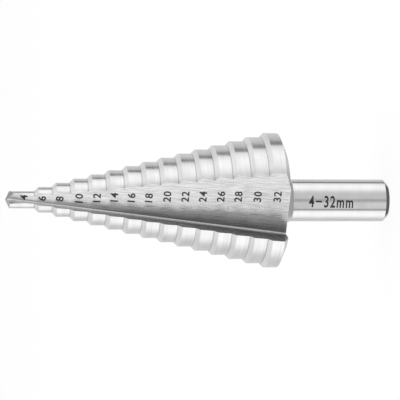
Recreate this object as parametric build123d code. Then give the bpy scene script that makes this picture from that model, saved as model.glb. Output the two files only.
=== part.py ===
from build123d import *
from math import atan, cos, degrees, radians, sin, tan
import os

# A two-flute step drill for sheet metal, ground from one bar: fifteen steps behind a drill
# point, a turned back face and a plain round shank. Millimetres and degrees. The drill stands
# on the end of its shank: the origin is the centre of that end, and +Z runs along the axis to
# the tip. Directions about the axis are measured from +X towards +Y.

# Shank and neck
shank_diameter = 10.0
shank_length = 23.35        # from its end to where the neck starts
shank_chamfer = 1.0
neck_length = 2.16          # short cone between the shank and the back face
neck_angle = 25.0           # its half angle

# Stepped head
step_count = 15
first_diameter = 4.0
diameter_rise = 2.0         # from one step to the next
first_land_length = 6.74    # from the tip to the first shoulder
step_pitch = 4.11           # from one shoulder to the next
shoulder_angle = 45.0       # half angle of the cone that leads into each step
last_land_length = 2.89     # straight part of the largest step
back_cone_length = 1.37     # turned cone behind the largest step
back_cone_depth = 3.0       # how far it comes in towards the axis

# Drill point: two flats behind each lip, the second one steeper, towards the heel
point_angle = 130.0
lip_relief_angle = 12.0
heel_relief_angle = 46.0
heel_relief_side = 115.0    # the way it falls, for the first land

# Flutes: two straight V grooves, whose bottoms run out from the axis towards the shank
web_at_tip = 0.54           # metal left between the two flute bottoms
web_at_back = 20.34
flute_side_at_tip = -68.0   # where the first flute's bottom starts, seen along the axis
flute_side_at_back = -141.0
cutting_face_side = -106.0  # which way the cutting face runs out from the flute's bottom
flute_opening = 74.4        # angle from there to the numbered face
flute_bottom_radius = 0.28

# Lands: each is ground about its own centre line, which leaves the axis at the tip, so that a
# land has its full radius at the cutting edge and clears the hole behind it
land_offset = 0.06          # how far off the axis that line is at the back face
land_offset_side = -95.0    # towards which side, for the land that the first flute cuts
cutting_edge_side = -125.0  # where that land has its cutting edge
land_seam_side = -102.0     # a side that lies in the first flute at every step

# Worked out from the sizes above
shank_radius = shank_diameter / 2
back_face_z = shank_length + neck_length
last_land_bottom = back_face_z + back_cone_length
last_land_top = last_land_bottom + last_land_length
shoulder_length = diameter_rise / 2 / tan(radians(shoulder_angle))
tip_z = last_land_top + (step_count - 2) * step_pitch + shoulder_length + first_land_length
head_radius = (first_diameter + (step_count - 1) * diameter_rise) / 2
head_length = tip_z - back_face_z
half_point_angle = point_angle / 2
overrun = 4.0               # how far a cutting shape runs past what it cuts
seat = 1.0                  # how far the neck is carried on inside the head


def polar(radius, side, z=0.0):
    """A point at a radius, a side and a height about the drill's axis."""
    return Vector(radius * cos(radians(side)), radius * sin(radians(side)), z)


def turned(corners):
    """A solid of revolution about Z, from the (radius, height) corners of its half section."""
    outline = Polyline([(radius, 0, z) for radius, z in corners], close=True)
    return revolve(make_face(outline), Axis.Z)


def step_corners():
    """The half section of one land about its own centre line, from below the back face."""
    lag = cos(radians(land_offset_side - cutting_edge_side))

    def corner(radius, z):
        return (radius - lag * land_offset * (tip_z - z) / head_length, z)

    start, end = back_face_z - overrun, tip_z + overrun
    corners = [(0, start), corner(head_radius, start)]
    for step in range(step_count - 1):
        radius = head_radius - step * diameter_rise / 2
        top = last_land_top + step * step_pitch
        corners += [corner(radius, top), corner(radius - diameter_rise / 2, top + shoulder_length)]
    return corners + [corner(first_diameter / 2, end), (0, end)]


def land():
    """One of the two ground halves of the stepped head, up to the seam in the flutes."""
    tilt = degrees(atan(land_offset / head_length))
    tip_axis = Axis((0, 0, tip_z), polar(1, land_offset_side - 90))
    ground = turned(step_corners()).rotate(tip_axis, tilt)
    width = 2 * (head_radius + overrun)
    side = Box(width, width, 3 * tip_z, align=(Align.MIN, Align.CENTER, Align.CENTER))
    return ground & Rot(0, 0, land_seam_side - 90) * side


def turned_envelope():
    """What the lathe leaves of the head: the drill point, and the cone and face at the back."""
    reach = head_radius + overrun
    cone_z = last_land_bottom + overrun * back_cone_length / back_cone_depth
    return turned([
        (0, back_face_z),
        (head_radius - back_cone_depth, back_face_z),
        (reach, cone_z),
        (reach, tip_z - reach / tan(radians(half_point_angle))),
        (0, tip_z),
    ])


def flute_bottom(z):
    """Where the sharp bottom of the first flute passes a height."""
    tip = polar(web_at_tip / 2, flute_side_at_tip, tip_z)
    back = polar(web_at_back / 2, flute_side_at_back, back_face_z)
    return tip + (back - tip) * ((tip_z - z) / head_length)


def flute():
    """The first flute's V, swept straight along its bottom from behind the head past the tip."""
    reach = 3 * head_radius
    start = flute_bottom(back_face_z - overrun)
    way = flute_bottom(tip_z + overrun) - start
    cutting_end = start + polar(reach, cutting_face_side)
    numbered_end = start + polar(reach, cutting_face_side + flute_opening)
    profile = make_face(Polyline([start, cutting_end, numbered_end], close=True))
    bottom = profile.vertices().sort_by_distance(start)[0]
    return extrude(fillet(bottom, flute_bottom_radius), amount=way.length, dir=way)


def lip_facet():
    """The block above the flat that is ground behind the first lip to clear its cut."""
    fall = 1 / tan(radians(half_point_angle))
    along_lip = polar(1, cutting_face_side, -fall)
    behind_lip = polar(1, cutting_face_side - 90, -tan(radians(lip_relief_angle)))
    flat = Plane((0, 0, tip_z), x_dir=along_lip, z_dir=behind_lip.cross(along_lip))
    width = 2 * (first_diameter + overrun)
    return flat * Box(width, width, overrun, align=(Align.CENTER, Align.CENTER, Align.MIN))


def heel_facet():
    """The block above the steep flat that is ground off the first land's heel at the point."""
    downhill = polar(1, heel_relief_side, -tan(radians(heel_relief_angle)))
    level = polar(1, heel_relief_side + 90)
    flat = Plane((0, 0, tip_z), x_dir=downhill, z_dir=downhill.cross(level))
    width = 2 * (first_diameter + overrun)
    above = flat * Box(width, width, overrun, align=(Align.CENTER, Align.CENTER, Align.MIN))
    heel_side = Box(width, width, width, align=(Align.MAX, Align.CENTER, Align.CENTER))
    return above & Pos(0, 0, tip_z) * heel_side


def both(shape):
    """A shape and its twin on the other side of the axis."""
    return [shape, shape.rotate(Axis.Z, 180)]


def shank():
    """The plain shank and its neck, seated a little way inside the head."""
    return turned([
        (0, 0),
        (shank_radius - shank_chamfer, 0),
        (shank_radius, shank_chamfer),
        (shank_radius, shank_length),
        (shank_radius + (neck_length + seat) * tan(radians(neck_angle)), back_face_z + seat),
        (0, back_face_z + seat),
    ])


def step_drill():
    """The whole drill as one solid."""
    first_land, second_land = both(land())
    head = (first_land + second_land) & turned_envelope()
    return head - both(flute()) - both(lip_facet()) - both(heel_facet()) + shank()


os.makedirs("parts", exist_ok=True)
drill = step_drill()
drill.label = "step_drill"
export_step(drill, "parts/step_drill.step")
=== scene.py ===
"""Dresses the step drill: its bare steel, its marks, and the studio that it is seen in.

Metres and radians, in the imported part's frame: the drill stands on its shank, its axis is +Z,
and the first flute, with the numbers, opens towards -Y.
"""

from math import cos, pi, radians, sin

import bpy
from mathutils import Matrix, Vector


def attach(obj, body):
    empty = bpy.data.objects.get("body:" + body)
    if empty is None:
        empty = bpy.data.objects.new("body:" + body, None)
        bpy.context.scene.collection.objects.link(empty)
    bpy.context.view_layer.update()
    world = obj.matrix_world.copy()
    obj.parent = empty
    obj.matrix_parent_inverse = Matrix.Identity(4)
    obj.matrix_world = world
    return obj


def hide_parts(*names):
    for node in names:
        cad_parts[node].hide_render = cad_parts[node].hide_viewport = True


MM = 0.001

# ---- The drill's own sizes, as the frame has them ----
SHANK_RADIUS = 5.0 * MM
SHANK_LENGTH = 23.35 * MM
TIP = 90.94 * MM
STEP_PITCH = 4.11 * MM
FIRST_SHOULDER = 84.2 * MM     # height where the smallest step ends, at the root of its shoulder
LAST_STEP_TOP = 29.77 * MM
POINT_DEPTH = 2.4 * MM         # the ground flats at the point are all within this of the tip

# The first flute: where its bottom starts and ends, and which way its two flat faces run out
# from there, about +Z. The second flute is the first one turned half a turn.
FLUTE_BOTTOM_AT_TIP = Vector((0.1, -0.25, 90.94)) * MM
FLUTE_BOTTOM_AT_BACK = Vector((-7.9, -6.4, 25.51)) * MM
FLUTE_BOTTOM_REACH = 0.6 * MM  # its round faces have their middles within this of that line
FLUTE_WAY = (FLUTE_BOTTOM_AT_TIP - FLUTE_BOTTOM_AT_BACK).normalized()
NUMBERED_FACE_RUN = Vector((cos(radians(-31.6)), sin(radians(-31.6)), 0))
CUTTING_FACE_RUN = Vector((cos(radians(-106)), sin(radians(-106)), 0))
NUMBERED_FACE_NORMAL = NUMBERED_FACE_RUN.cross(FLUTE_WAY).normalized()
CUTTING_FACE_NORMAL = FLUTE_WAY.cross(CUTTING_FACE_RUN).normalized()

# ---- Steel ----
SAME_WAY = 0.9999                     # the dot product of two directions that agree
# The drill's finishes, as places in its list of materials
TURNED, SHANK, NUMBERED_FACE, CUTTING_FACE, FLUTE_BOTTOM, POINT = range(6)
ROOT_SHADE_LINE = (0.07 * MM, 0.16 * MM)    # the painted shade line at a shoulder's root fades between these
# how much of the colour the painted shade at a shoulder's root takes away
ROOT_PAINTED_SHADE = 0.3
RINGS_OUTWARDS = 0.6                  # how many there are on a flat face, for each on a straight
FINE_RINGS_ROUND = 60                 # how fast rings change on the way round, per metre
COARSE_RINGS_ROUND = 25
COARSE_RINGS = 0.23                   # how many there are for each fine one
COARSE_RINGS_SHARE = 0.4
SCRATCH_STRETCH = 0.04                # a scratch's width, as a share of its length
SLANTED_STRETCH = 0.11                # the same, for the set that crosses the first
SLANTED_SHARE = 0.45
PATCH_SIZE = 3.5 * MM                 # of the soft patches that dull the steel a little
PATCH_TONE = 0.95                     # how much of the colour is left in them
PATCH_ROUGHNESS = 0.04
LEAST_SHADE_REACH = 0.8 * MM          # of the painted shade beside a flute's bottom

# ---- Marks ----
# The diameter each step cuts, how high its number stands and how far over to +X, in millimetres
STEP_NUMBERS = (
    (4, 86.65, 0.56), (6, 82.43, 0.32), (8, 78.36, 0.24), (10, 73.92, 0.37), (12, 69.84, 0.48),
    (14, 65.85, 0.62), (16, 61.92, 0.53), (18, 57.90, 0.50), (20, 53.70, 0.78), (22, 49.55, 0.78),
    (24, 45.50, 0.79), (26, 41.40, 0.80), (28, 37.40, 0.81), (30, 32.97, 0.82), (32, 28.42, 0.82),
)
NUMBER_HEIGHT = 1.78 * MM
NUMBER_WIDENING = 1.12         # how wide the digits are, against the font's own
NUMBER_WEIGHT = 0.055 * MM     # how much their strokes are fattened
NUMBER_SPACING = 1.14          # how far apart they are set, against the font's own
# The range of sizes on the shank, in pieces, each with the height of its middle in millimetres
RANGE_MARK = (("4", 19.09), ("\u2013", 17.33), ("32mm", 12.53))
RANGE_MARK_HEIGHT = 2.8 * MM
RANGE_MARK_WIDENING = 0.66
RANGE_MARK_WEIGHT = 0.085 * MM
RANGE_MARK_SPACING = 1.2
RANGE_MARK_MIDDLE = 14.3 * MM  # how high its middle is on the shank
RANGE_MARK_SIDE = radians(-4.3)        # how far round from -Y its middle is, towards +X
RANGE_MARK_SLANT = radians(-1.6)       # how far it turns from the lengthwise line
RANGE_MARK_BANDS = 19          # the cuts along it that let it bend round the shank
MARK_THICKNESS = 0.02 * MM
CAPITAL_SHARE = 0.729          # a digit's height, as a share of the font's size
MARK_TONES = (0.008, 0.035)
MARK_ROUGHNESS = (0.42, 0.6)
MARK_PATCH_SIZE = 0.25 * MM

# ---- The camera ----
CAMERA_DISTANCE = 0.495
CAMERA_ELEVATION = radians(8.45)
CAMERA_ROLL = radians(0.11)
AIM = Vector((0.02, 0.0, 44.97)) * MM
FIELD = 94.56 * MM             # the width that it takes in at the aim
SENSOR_WIDTH = 36              # millimetres, as Blender has them

# ---- The studio ----
# How bright the surroundings are, by the side of the drill they stand on, in degrees: 0 is the
# camera's side, positive towards +X. A large soft box stands on each hand, the one on +X with a
# dark flag beside it.
BOX_ON_THE_LEFT = (
    (-180, 0.76), (-141, 0.80), (-122, 0.87), (-112, 1.05), (-100, 1.34), (-90, 1.50), (-70, 1.46),
    (-61, 1.25),
)
BOX_ON_THE_RIGHT = (
    (60, 1.29), (74, 1.46), (88, 1.44), (100, 1.24), (107, 1.08), (110, 0.28), (118, 0.32),
    (126, 0.72), (140, 0.82), (180, 0.76),
)
# Between them, where the camera is, it is grey below the drill's level, and dark on one hand
# level with it.
LOW_SURROUND = (
    *BOX_ON_THE_LEFT, (-56, 0.46), (-50, 0.46), (-46, 0.94), (-15, 0.94), (-4, 0.58), (4, 0.58),
    (12, 0.84), (34, 0.84), (48, 0.98), *BOX_ON_THE_RIGHT,
)
MIDDLE_SURROUND = (
    *BOX_ON_THE_LEFT, (-57, 1.25), (-49, 0.06), (-18, 0.06), (-4, 0.5), (50, 0.52),
    *BOX_ON_THE_RIGHT,
)
# Above is a bright tent, less bright over the camera.
HIGH_SURROUND = (
    (-180, 0.86), (-150, 0.92), (-130, 0.98), (-112, 1.15), (-80, 1.2), (-70, 1.25), (-57, 1.25),
    (-47, 0.85), (50, 0.85), (66, 1.1), (100, 1.22), (124, 1.2), (136, 0.98), (150, 0.95),
    (180, 0.86),
)
BRIGHTEST = 2.0                # a ramp's colours stop at 1, so they are a share of this
# The angles above level between which one gives way to the next, up to a dim top
LOW_TO_MIDDLE = (radians(-10), radians(-7))
MIDDLE_TO_HIGH = (radians(-1), radians(8))
ZENITH_FROM = (radians(60), radians(67))
ZENITH = 0.3
# Far below level it is grey, with a dark flag underneath and a little behind.
UNDERSIDE_FROM = (radians(28), radians(44))
UNDERSIDE = 0.5
UNDER_FLAG = 0.15
UNDER_FLAG_WAY = (0.0, 0.573, -0.819)
UNDER_FLAG_EDGE = (0.78, 0.86)         # cosines of the angles from that way
FLOOR_SIZE = 8.0
FLOOR_PAINT = (0.9, 0.9, 0.9, 1)
FLOOR_WHITE = 0.9              # the share of plain white in it that the camera sees
LAMP_HEIGHT = LAMP_SIZE = 1.6
LAMP_POWER = 12


# ---- Small helpers ----

def select_only(piece):
    """Makes one object the selected and active one, in object mode."""
    bpy.ops.object.select_all(action="DESELECT")
    piece.select_set(True)
    bpy.context.view_layer.objects.active = piece


def flute_bottom(height):
    """Where the bottom of the first flute is at a height."""
    share = (FLUTE_BOTTOM_AT_TIP.z - height) / (FLUTE_BOTTOM_AT_TIP.z - FLUTE_BOTTOM_AT_BACK.z)
    return FLUTE_BOTTOM_AT_TIP.lerp(FLUTE_BOTTOM_AT_BACK, share)


def new_material(name):
    """An empty node material; returns it with its node tree."""
    material = bpy.data.materials.new(name)
    material.use_nodes = True
    material.node_tree.nodes.clear()
    return material, material.node_tree


def put_on_surface(tree, shader):
    """Leads a shader to its material's output."""
    output = tree.nodes.new("ShaderNodeOutputMaterial")
    tree.links.new(shader.outputs[0], output.inputs["Surface"])


class NodeMaths:
    """Short ways to add maths nodes to one node tree."""

    def __init__(self, tree):
        self.nodes, self.links = tree.nodes, tree.links

    def put(self, socket, value):
        """Gives a socket a link or a plain value."""
        if isinstance(value, bpy.types.NodeSocket):
            self.links.new(value, socket)
        else:
            socket.default_value = value

    def math(self, operation, *values):
        node = self.nodes.new("ShaderNodeMath")
        node.operation = operation
        for socket, value in zip(node.inputs, values):
            self.put(socket, value)
        return node.outputs[0]

    def times(self, first, second):
        return self.math("MULTIPLY", first, second)

    def rise(self, value, limits, to=(0.0, 1.0)):
        """A smooth step from one value to another between two limits."""
        node = self.nodes.new("ShaderNodeMapRange")
        node.interpolation_type = "SMOOTHSTEP"
        self.put(node.inputs["Value"], value)
        for socket, number in zip(list(node.inputs)[1:5], (*limits, *to)):
            socket.default_value = number
        return node.outputs["Result"]

    def blend(self, share, first, second):
        """From the first value, at a share of 0, to the second, at 1."""
        node = self.nodes.new("ShaderNodeMix")
        node.data_type = "FLOAT"
        self.put(node.inputs["Factor"], share)
        self.put(node.inputs[2], first)
        self.put(node.inputs[3], second)
        return node.outputs[0]

    def split(self, vector):
        """The three coordinates of a vector."""
        node = self.nodes.new("ShaderNodeSeparateXYZ")
        self.put(node.inputs[0], vector)
        return node.outputs

    def join(self, *values):
        """A vector of three coordinates."""
        node = self.nodes.new("ShaderNodeCombineXYZ")
        for socket, value in zip(node.inputs, values):
            self.put(socket, value)
        return node.outputs[0]

    def along(self, place, way):
        """How far a place lies along a direction."""
        node = self.nodes.new("ShaderNodeVectorMath")
        node.operation = "DOT_PRODUCT"
        self.put(node.inputs[0], place)
        self.put(node.inputs[1], way)
        return node.outputs["Value"]

    def noise(self, place, scale=1.0, detail=2.0):
        """Noise from 0 to 1, spread out to use that whole range."""
        node = self.nodes.new("ShaderNodeTexNoise")
        self.put(node.inputs["Vector"], place)
        self.put(node.inputs["Scale"], scale)
        self.put(node.inputs["Detail"], detail)
        return self.rise(node.outputs["Fac"], (0.3, 0.7))

    def around(self, side, surround):
        """The brightness on that side, from a list of (degrees, brightness)."""
        node = self.nodes.new("ShaderNodeValToRGB")
        elements = node.color_ramp.elements
        elements.remove(elements[1])
        for index, (degrees_round, brightness) in enumerate(surround):
            place = degrees_round / 360 + 0.5
            element = elements.new(place) if index else elements[0]
            element.position = place
            element.color = (*[brightness / BRIGHTEST] * 3, 1)
        self.put(node.inputs["Fac"], self.math("ADD", self.math("DIVIDE", side, 2 * pi), 0.5))
        return self.times(node.outputs["Color"], BRIGHTEST)


# ---- The studio ----

def make_studio():
    """The surroundings that the steel mirrors, with plain white behind the drill."""
    world = bpy.data.worlds.new("studio")
    bpy.context.scene.world = world
    world.use_nodes = True
    nodes, links = world.node_tree.nodes, world.node_tree.links
    nodes.clear()
    make = NodeMaths(world.node_tree)

    way = nodes.new("ShaderNodeTexCoord").outputs["Generated"]
    x, y, z = make.split(way)
    side = make.math("ARCTAN2", x, make.times(y, -1.0))
    height = make.math("ARCSINE", z)
    depth = make.times(height, -1.0)

    light = make.around(side, LOW_SURROUND)
    light = make.blend(make.rise(height, LOW_TO_MIDDLE), light, make.around(side, MIDDLE_SURROUND))
    light = make.blend(make.rise(height, MIDDLE_TO_HIGH), light, make.around(side, HIGH_SURROUND))
    light = make.blend(make.rise(height, ZENITH_FROM), light, ZENITH)
    under_flag = make.rise(make.along(way, UNDER_FLAG_WAY), UNDER_FLAG_EDGE)
    underside = make.blend(under_flag, UNDERSIDE, UNDER_FLAG)
    light = make.blend(make.rise(depth, UNDERSIDE_FROM), light, underside)

    rays = nodes.new("ShaderNodeLightPath")
    background = nodes.new("ShaderNodeBackground")
    links.new(make.blend(rays.outputs["Is Camera Ray"], light, 1.0), background.inputs["Color"])
    output = nodes.new("ShaderNodeOutputWorld")
    links.new(background.outputs[0], output.inputs["Surface"])


def make_floor():
    """A plain pale floor with the drill's shadow in it, which the steel doesn't mirror."""
    bpy.ops.mesh.primitive_plane_add(size=FLOOR_SIZE)
    floor = bpy.context.object
    floor.name = "floor"
    floor.visible_glossy = False
    material, tree = new_material("floor_paint")
    make = NodeMaths(tree)
    paint = tree.nodes.new("ShaderNodeBsdfDiffuse")
    paint.inputs["Color"].default_value = FLOOR_PAINT
    white = tree.nodes.new("ShaderNodeEmission")
    rays = tree.nodes.new("ShaderNodeLightPath")
    mix = tree.nodes.new("ShaderNodeMixShader")
    make.put(mix.inputs[0], make.times(rays.outputs["Is Camera Ray"], FLOOR_WHITE))
    make.put(mix.inputs[1], paint.outputs[0])
    make.put(mix.inputs[2], white.outputs[0])
    put_on_surface(tree, mix)
    floor.data.materials.append(material)


def make_lamp():
    """One large soft lamp overhead, which gives the floor its light."""
    bpy.ops.object.light_add(type="AREA", location=(0, 0, LAMP_HEIGHT))
    lamp = bpy.context.object
    lamp.name = "overhead_lamp"
    lamp.data.shape = "SQUARE"
    lamp.data.size = LAMP_SIZE
    lamp.data.energy = LAMP_POWER
    lamp.visible_glossy = False


def make_camera():
    """A long lens from the numbered flute's side, turned so that the drill lies across."""
    camera_data = bpy.data.cameras.new("camera")
    camera = bpy.data.objects.new("camera", camera_data)
    bpy.context.scene.collection.objects.link(camera)
    camera_data.sensor_width = SENSOR_WIDTH
    camera_data.lens = SENSOR_WIDTH * CAMERA_DISTANCE / FIELD
    camera_data.clip_start, camera_data.clip_end = 0.01, 20
    right = Vector((0, -sin(CAMERA_ELEVATION), -cos(CAMERA_ELEVATION)))
    up = Vector((1, 0, 0))
    back = Vector((0, -cos(CAMERA_ELEVATION), sin(CAMERA_ELEVATION)))
    camera.matrix_world = Matrix.Translation(AIM + back * CAMERA_DISTANCE) @ (
        Matrix((right, up, back)).transposed().to_4x4() @ Matrix.Rotation(CAMERA_ROLL, 4, "Z")
    )
    bpy.context.scene.camera = camera


# ---- What more than one finish uses ----

def new_group(name, inputs, outputs):
    """A shader node group with named inputs, each with its kind, and named values out."""
    group = bpy.data.node_groups.new(name, "ShaderNodeTree")
    for label, kind in inputs:
        group.interface.new_socket(label, in_out="INPUT", socket_type=kind)
    for label in outputs:
        group.interface.new_socket(label, in_out="OUTPUT", socket_type="NodeSocketFloat")
    return (
        group, NodeMaths(group), group.nodes.new("NodeGroupInput").outputs,
        group.nodes.new("NodeGroupOutput").inputs,
    )


def make_turning_marks():
    """Fine uneven rings about the drill's axis, on its straight, coned and flat turned faces."""
    group, make, given, out = new_group(
        "turning_marks",
        (("Place", "NodeSocketVector"), ("Rings per Metre", "NodeSocketFloat")),
        ("Marks",),
    )
    x, y, z = make.split(given["Place"])
    radius = make.math("SQRT", make.math("ADD", make.times(x, x), make.times(y, y)))
    tool_travel = make.math("SUBTRACT", z, make.times(radius, RINGS_OUTWARDS))
    rings = make.times(tool_travel, given["Rings per Metre"])
    fine = make.noise(
        make.join(make.times(x, FINE_RINGS_ROUND), make.times(y, FINE_RINGS_ROUND), rings))
    coarse = make.noise(
        make.join(make.times(x, COARSE_RINGS_ROUND), make.times(y, COARSE_RINGS_ROUND),
                  make.times(rings, COARSE_RINGS)), detail=0.0)
    make.put(out["Marks"], make.blend(COARSE_RINGS_SHARE, fine, coarse))
    return group


def make_grinding_lines():
    """Straight scratches that a grinding wheel leaves, in two sets that cross at a small angle."""
    group, make, given, out = new_group(
        "grinding_lines",
        (("Place", "NodeSocketVector"), ("Along", "NodeSocketVector"),
         ("Across", "NodeSocketVector"), ("Lines per Metre", "NodeSocketFloat"),
         ("Slant", "NodeSocketFloat")),
        ("Marks", "Distance Across"),
    )
    # The second flute, on +Y, has what the first one has: its places are turned half a turn.
    x, y, z = make.split(given["Place"])
    turn = make.math("SUBTRACT", 1.0, make.times(make.math("GREATER_THAN", y, 0.0), 2.0))
    here = make.join(make.times(x, turn), make.times(y, turn), z)
    along = make.along(here, given["Along"])
    across = make.along(here, given["Across"])
    lines = []
    for slant, stretch in ((0.0, SCRATCH_STRETCH), (given["Slant"], SLANTED_STRETCH)):
        slanted = make.math("ADD", across, make.times(along, slant))
        lines.append(make.noise(make.join(
            make.times(make.times(along, given["Lines per Metre"]), stretch),
            make.times(slanted, given["Lines per Metre"]),
            0.0,
        ), detail=3.0))
    make.put(out["Marks"], make.blend(SLANTED_SHARE, *lines))
    make.put(out["Distance Across"], across)
    return group


def make_patches():
    """Soft cloudy patches, such as oil and fingers leave."""
    group, make, given, out = new_group(
        "patches",
        (("Place", "NodeSocketVector"), ("Patch Size", "NodeSocketFloat")),
        ("Patches",),
    )
    make.put(out["Patches"],
             make.noise(given["Place"], make.math("DIVIDE", 1.0, given["Patch Size"])))
    return group


class Finish:
    """One finish of the drill's surface, with the shared effects placed in it."""

    def __init__(self, name, effects, metallic=1):
        self.material, self.tree = new_material(name)
        self.make = NodeMaths(self.tree)
        self.effects = effects
        self.place = self.tree.nodes.new("ShaderNodeTexCoord").outputs["Object"]
        surface = self.tree.nodes.new("ShaderNodeBsdfPrincipled")
        self.surface = surface.inputs
        self.surface["Metallic"].default_value = metallic
        put_on_surface(self.tree, surface)

    def effect(self, name, **values):
        """A shared effect with its own values, by their names with _ for spaces; what it gives."""
        node = self.tree.nodes.new("ShaderNodeGroup")
        node.node_tree = self.effects[name]
        self.make.put(node.inputs["Place"], self.place)
        for label, value in values.items():
            self.make.put(node.inputs[label.replace("_", " ")], value)
        return node.outputs

    def as_steel(self, marks, tones, roughness, relief, painted_shade=1.0):
        """Colour, gloss and relief from the marks; the mask darkens the colour in places, as
        painted shade.
        """
        make = self.make
        patches = self.effect("patches", Patch_Size=PATCH_SIZE)["Patches"]
        tone = make.times(make.blend(marks, *tones), make.blend(patches, 1.0, PATCH_TONE))
        make.put(self.surface["Base Color"], make.times(tone, painted_shade))
        dullness = make.times(patches, PATCH_ROUGHNESS)
        gloss = make.math("ADD", make.blend(marks, *roughness), dullness)
        make.put(self.surface["Roughness"], gloss)
        bump = self.tree.nodes.new("ShaderNodeBump")
        bump.inputs["Distance"].default_value = relief
        make.put(bump.inputs["Height"], marks)
        make.put(self.surface["Normal"], bump.outputs["Normal"])
        return self.material


# ---- The steel ----

def turned_steel(effects):
    """Lands, shoulders, neck and back: bright, ringed, with painted shade as a dark line at each
    shoulder's root.
    """
    steel = Finish("turned_steel", effects)
    make = steel.make
    height = make.split(steel.place)[2]
    # Painted shade: a thin dark line at each shoulder's root, where land and shoulder meet in a
    # hollow corner.
    from_root = make.math("PINGPONG", make.math("SUBTRACT", height, FIRST_SHOULDER), STEP_PITCH / 2)
    on_steps = make.times(
        make.math("GREATER_THAN", height, LAST_STEP_TOP),
        make.math("LESS_THAN", height, FIRST_SHOULDER + STEP_PITCH / 2))
    root = make.times(make.rise(from_root, ROOT_SHADE_LINE, (1.0, 0.0)), on_steps)
    return steel.as_steel(
        steel.effect("turning_marks", Rings_per_Metre=3400)["Marks"], tones=(0.61, 0.70),
        roughness=(0.13, 0.21), relief=0.003 * MM,
        painted_shade=make.math("SUBTRACT", 1.0, make.times(root, ROOT_PAINTED_SHADE)))


def shank_steel(effects):
    """The shank: ground round and smooth, with closer and fainter rings."""
    steel = Finish("shank_steel", effects)
    return steel.as_steel(
        steel.effect("turning_marks", Rings_per_Metre=7000)["Marks"], tones=(0.64, 0.68),
        roughness=(0.09, 0.13), relief=0.0006 * MM)


def flute_face_steel(name, effects, run, normal, lines_per_metre, tones, roughness, relief,
                     shade, reach_at_tip, reach_growth):
    """A flat flute face, ground lengthwise. Beside the flute's bottom its colour falls to a painted
    shade, a share of what it is further out, over a reach that grows with the distance from the
    tip."""
    steel = Finish(name, effects)
    make = steel.make
    across = normal.cross(FLUTE_WAY)
    if across.dot(run) < 0:
        across = -across
    lines = steel.effect("grinding_lines", Along=FLUTE_WAY, Across=across,
                         Lines_per_Metre=lines_per_metre, Slant=0.22)
    # Painted shade: the colour darkens towards the flute's bottom, where the two faces meet in a
    # hollow.
    from_bottom = make.math("SUBTRACT", lines["Distance Across"], across.dot(FLUTE_BOTTOM_AT_TIP))
    from_tip = make.math("SUBTRACT", TIP, make.split(steel.place)[2])
    reach = make.math("ADD", reach_at_tip, make.times(from_tip, reach_growth))
    reach = make.math("MAXIMUM", reach, LEAST_SHADE_REACH)
    painted_shade = make.rise(make.math("DIVIDE", from_bottom, reach), (0.0, 1.0), (shade, 1.0))
    return steel.as_steel(lines["Marks"], tones, roughness, relief, painted_shade)


def numbered_face_steel(effects):
    """The face that carries the numbers: the most coarsely ground."""
    return flute_face_steel(
        "numbered_face_steel", effects, NUMBERED_FACE_RUN, NUMBERED_FACE_NORMAL,
        lines_per_metre=2800, tones=(0.48, 0.81), roughness=(0.18, 0.28), relief=0.017 * MM,
        shade=0.42, reach_at_tip=-0.14 * MM, reach_growth=0.081)


def cutting_face_steel(effects):
    """The face that ends in the cutting edges, ground finer."""
    return flute_face_steel(
        "cutting_face_steel", effects, CUTTING_FACE_RUN, CUTTING_FACE_NORMAL,
        lines_per_metre=3400, tones=(0.66, 0.80), roughness=(0.14, 0.22), relief=0.004 * MM,
        shade=0.60, reach_at_tip=-1.6 * MM, reach_growth=0.14)


def flute_bottom_steel(effects):
    """The narrow round bottom of a flute, polished by the wheel's edge; its light colour is a
    painted highlight.
    """
    steel = Finish("flute_bottom_steel", effects)
    lines = steel.effect("grinding_lines", Along=FLUTE_WAY, Across=NUMBERED_FACE_RUN,
                         Lines_per_Metre=9000, Slant=0.0)
    return steel.as_steel(lines["Marks"], tones=(0.78, 0.88), roughness=(0.14, 0.22),
                          relief=0.0005 * MM)


def point_steel(effects):
    """The flats at the drill point, ground across the lips; their dark colour is painted shade."""
    steel = Finish("point_steel", effects)
    lines = steel.effect("grinding_lines", Along=Vector((0, 0, 1)).cross(CUTTING_FACE_RUN),
                         Across=CUTTING_FACE_RUN, Lines_per_Metre=6000, Slant=0.1)
    return steel.as_steel(lines["Marks"], tones=(0.37, 0.50), roughness=(0.16, 0.26),
                          relief=0.001 * MM)


def face_finish(face):
    """Which finish a face of the drill has. Those on +Y are looked up turned half a turn."""
    turn = -1 if face.center.y > 0 else 1
    centre = Vector((turn * face.center.x, turn * face.center.y, face.center.z))
    normal = Vector((turn * face.normal.x, turn * face.normal.y, face.normal.z))
    if normal.dot(NUMBERED_FACE_NORMAL) > SAME_WAY:
        return NUMBERED_FACE
    if normal.dot(CUTTING_FACE_NORMAL) > SAME_WAY:
        return CUTTING_FACE
    from_bottom = (centre - flute_bottom(centre.z)).length
    if abs(normal.dot(FLUTE_WAY)) < 0.02 and from_bottom < FLUTE_BOTTOM_REACH:
        return FLUTE_BOTTOM
    if centre.z > TIP - POINT_DEPTH and normal.z > 0.3:
        return POINT
    on_shank = 0.95 * SHANK_RADIUS < centre.xy.length < 1.01 * SHANK_RADIUS
    return SHANK if on_shank and centre.z < SHANK_LENGTH and abs(normal.z) < 0.1 else TURNED


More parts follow.
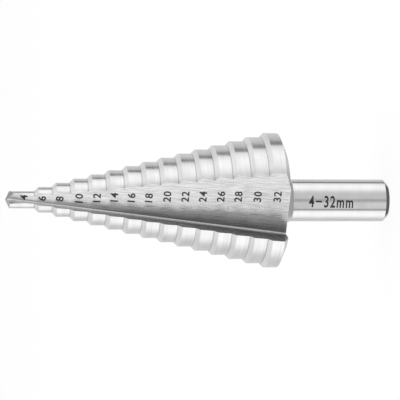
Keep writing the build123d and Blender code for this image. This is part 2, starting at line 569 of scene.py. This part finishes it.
def make_drill(node, effects):
    """The drill itself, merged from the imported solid's triangles."""
    drill = node.copy()
    drill.data = node.data.copy()
    drill.name = "drill"
    for key in list(drill.keys()):    # what the frame notes on its own node
        del drill[key]
    bpy.context.scene.collection.objects.link(drill)
    drill.parent = None
    select_only(drill)
    bpy.ops.mesh.customdata_custom_splitnormals_clear()
    bpy.ops.object.mode_set(mode="EDIT")
    bpy.ops.mesh.select_all(action="SELECT")
    bpy.ops.mesh.remove_doubles(threshold=0.001 * MM)
    bpy.ops.mesh.dissolve_limited(angle_limit=radians(0.2))
    bpy.ops.object.mode_set(mode="OBJECT")
    bpy.ops.object.shade_smooth_by_angle(angle=radians(20))
    drill.data.materials.clear()
    for finish in (turned_steel, shank_steel, numbered_face_steel, cutting_face_steel,
                   flute_bottom_steel, point_steel):
        drill.data.materials.append(finish(effects))
    for face in drill.data.polygons:
        face.material_index = face_finish(face)
    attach(drill, "root")
    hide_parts("step_drill")


# ---- The marks ----

def mark_black(effects):
    """The black of the marks, burnt in and a little uneven."""
    black = Finish("mark_black", effects, metallic=0)
    patches = black.effect("patches", Patch_Size=MARK_PATCH_SIZE)["Patches"]
    black.make.put(black.surface["Base Color"], black.make.blend(patches, *MARK_TONES))
    black.make.put(black.surface["Roughness"], black.make.blend(patches, *MARK_ROUGHNESS))
    return black.material


def flat_words(words, height, widening, weight, spacing):
    """Words as a thin flat mesh in X and Y, about their own middle; weight fattens the strokes."""
    bpy.ops.object.select_all(action="DESELECT")
    bpy.ops.object.text_add()
    text = bpy.context.object
    text.data.body = words
    text.data.size = height / CAPITAL_SHARE
    text.data.offset = weight
    text.data.space_character = spacing
    text.data.extrude = MARK_THICKNESS / 2
    bpy.ops.object.convert(target="MESH")
    lowest, highest = Vector(text.bound_box[0]), Vector(text.bound_box[6])
    middle = (lowest + highest) / 2
    text.data.transform(Matrix.Diagonal((widening, 1, 1, 1)) @ Matrix.Translation(-middle))
    return text


def join_all(pieces, name, material):
    """Makes one object of several, under a new name and with one material; leaves it active."""
    select_only(pieces[0])
    for piece in pieces:
        piece.select_set(True)
    bpy.ops.object.join()
    joined = bpy.context.object
    joined.name = name
    joined.data.materials.append(material)
    return joined


def make_step_numbers(black):
    """The step sizes, on the numbered face of the first flute, upright when the drill stands."""
    up = NUMBERED_FACE_NORMAL.cross(NUMBERED_FACE_RUN)
    turn = Matrix((NUMBERED_FACE_RUN, up, NUMBERED_FACE_NORMAL)).transposed().to_4x4()
    pieces = []
    for size, height, over in STEP_NUMBERS:
        number = flat_words(
            str(size), NUMBER_HEIGHT, NUMBER_WIDENING, NUMBER_WEIGHT, NUMBER_SPACING)
        bottom = flute_bottom(height * MM)
        out = (over * MM - bottom.x) / NUMBERED_FACE_RUN.x
        place = bottom + NUMBERED_FACE_RUN * out + NUMBERED_FACE_NORMAL * MARK_THICKNESS / 4
        number.data.transform(Matrix.Translation(place) @ turn)
        pieces.append(number)
    numbers = join_all(pieces, "step_numbers", black)
    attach(numbers, "root")


def make_range_mark(black):
    """The range of sizes, lengthwise on the shank and bent round it."""
    pieces = []
    for words, height in RANGE_MARK:
        piece = flat_words(words, RANGE_MARK_HEIGHT, RANGE_MARK_WIDENING, RANGE_MARK_WEIGHT,
                           RANGE_MARK_SPACING)
        piece.data.transform(Matrix.Translation((RANGE_MARK_MIDDLE - height * MM, 0, 0)))
        pieces.append(piece)
    mark = join_all(pieces, "range_mark", black)
    mark.data.transform(Matrix.Rotation(RANGE_MARK_SLANT, 4, "Z"))
    bpy.ops.object.mode_set(mode="EDIT")
    reach = 0.6 * RANGE_MARK_HEIGHT
    for band in range(RANGE_MARK_BANDS):
        bpy.ops.mesh.select_all(action="SELECT")
        level = reach * (2 * band / (RANGE_MARK_BANDS - 1) - 1)
        bpy.ops.mesh.bisect(plane_co=(0, level, 0), plane_no=(0, 1, 0))
    bpy.ops.object.mode_set(mode="OBJECT")
    # Stood up to read downwards, facing -Y, then bent about the shank's axis
    mark.data.transform(Matrix(((0, 1, 0), (0, 0, -1), (-1, 0, 0))).to_4x4())
    sides = [vertex.co.x for vertex in mark.data.vertices]
    bend = mark.modifiers.new("bend", "SIMPLE_DEFORM")
    bend.deform_method = "BEND"
    bend.deform_axis = "Z"
    bend.angle = (max(sides) - min(sides)) / SHANK_RADIUS
    bpy.ops.object.modifier_apply(modifier=bend.name)
    on_shank = Matrix.Translation((0, -SHANK_RADIUS, RANGE_MARK_MIDDLE))
    mark.data.transform(Matrix.Rotation(RANGE_MARK_SIDE, 4, "Z") @ on_shank)
    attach(mark, "root")


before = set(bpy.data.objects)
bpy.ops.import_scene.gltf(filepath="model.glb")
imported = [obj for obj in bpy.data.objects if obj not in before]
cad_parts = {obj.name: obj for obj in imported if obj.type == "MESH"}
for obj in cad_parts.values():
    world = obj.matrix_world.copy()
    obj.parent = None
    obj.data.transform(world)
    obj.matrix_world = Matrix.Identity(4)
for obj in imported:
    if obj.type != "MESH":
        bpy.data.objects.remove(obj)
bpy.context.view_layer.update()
bpy.context.scene.view_settings.view_transform = "Standard"
make_studio()
make_floor()
make_lamp()
make_camera()
effects = {
    "turning_marks": make_turning_marks(),
    "grinding_lines": make_grinding_lines(),
    "patches": make_patches(),
}
make_drill(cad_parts["step_drill"], effects)
black = mark_black(effects)
make_step_numbers(black)
make_range_mark(black)
